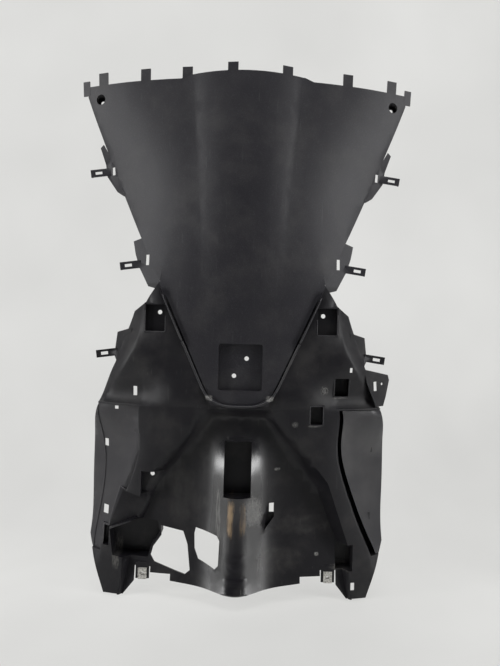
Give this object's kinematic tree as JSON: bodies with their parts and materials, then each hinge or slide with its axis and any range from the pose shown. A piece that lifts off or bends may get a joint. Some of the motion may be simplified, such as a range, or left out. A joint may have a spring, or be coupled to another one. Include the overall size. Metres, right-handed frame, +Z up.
{
  "type": "scooter leg shield",
  "caption": "Black moulded plastic leg shield of a scooter: a grained fan above, flanks with screw pockets, toe wells, a tunnel with an opening and a clip-in side cover.",
  "frame": {"origin": "midway between the two column screws, on the back face of their pad", "axes": "+X to the viewer's right as the rider sees it, +Y forward (away from the rider), +Z up"},
  "size_m": [0.504, 0.1146, 0.778],
  "materials": {
    "shield_plastic": "fine grained satin",
    "cover_plastic": "smooth satin",
    "zinc_steel": "zinc plated spring steel"
  },
  "bodies": {
    "root": {"leg_shield": "shield_plastic", "side_cover": "cover_plastic", "clip_nuts": "zinc_steel"}
  },
  "joints": []
}
